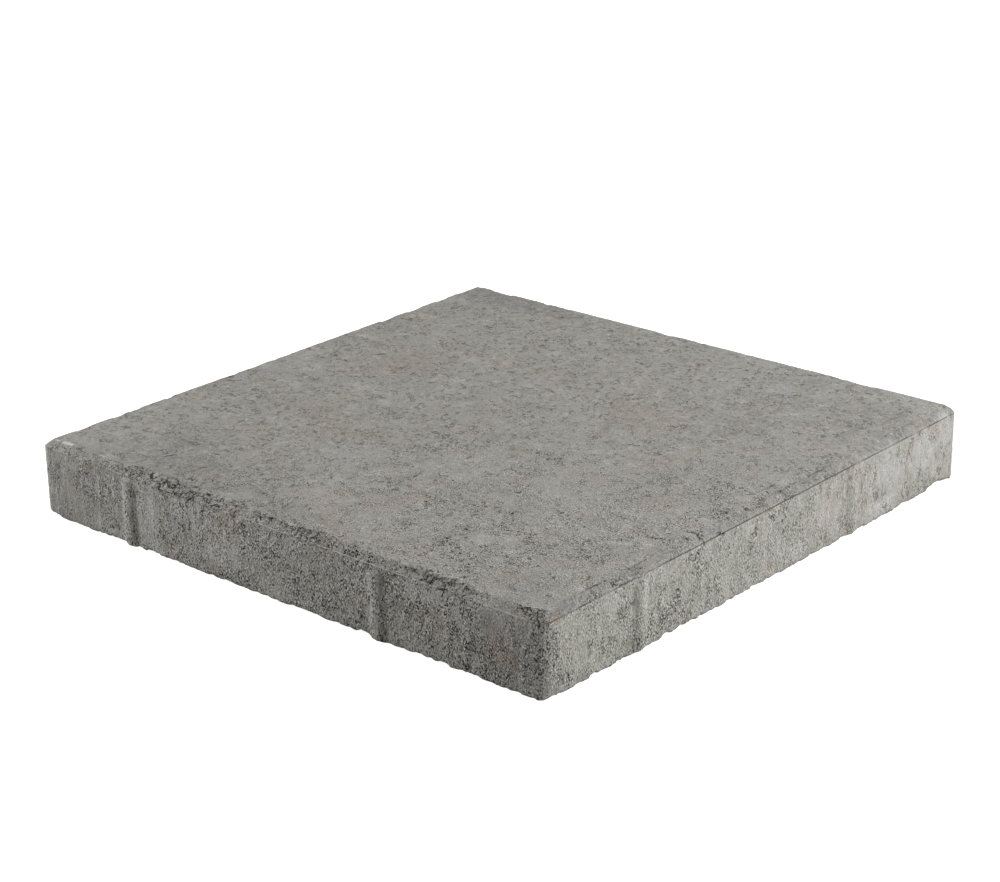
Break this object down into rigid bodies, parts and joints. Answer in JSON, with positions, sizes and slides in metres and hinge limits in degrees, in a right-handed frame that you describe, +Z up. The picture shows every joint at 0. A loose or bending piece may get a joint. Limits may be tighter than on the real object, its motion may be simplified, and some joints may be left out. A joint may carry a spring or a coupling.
{
  "type": "concrete paving slab",
  "caption": "Square cast concrete paving slab with a chamfered walking face, rounded upright corners and half-round spacer nibs on its sides.",
  "frame": {"origin": "middle of the flat bed face that the slab lies on", "axes": "+Z up through the walking face; the four sides face +X, +Y, -X and -Y"},
  "size_m": [0.4026, 0.4026, 0.048],
  "materials": {
    "concrete": "matte, fine open-textured cement grey"
  },
  "bodies": {
    "root": {"slab": "concrete"}
  },
  "joints": []
}
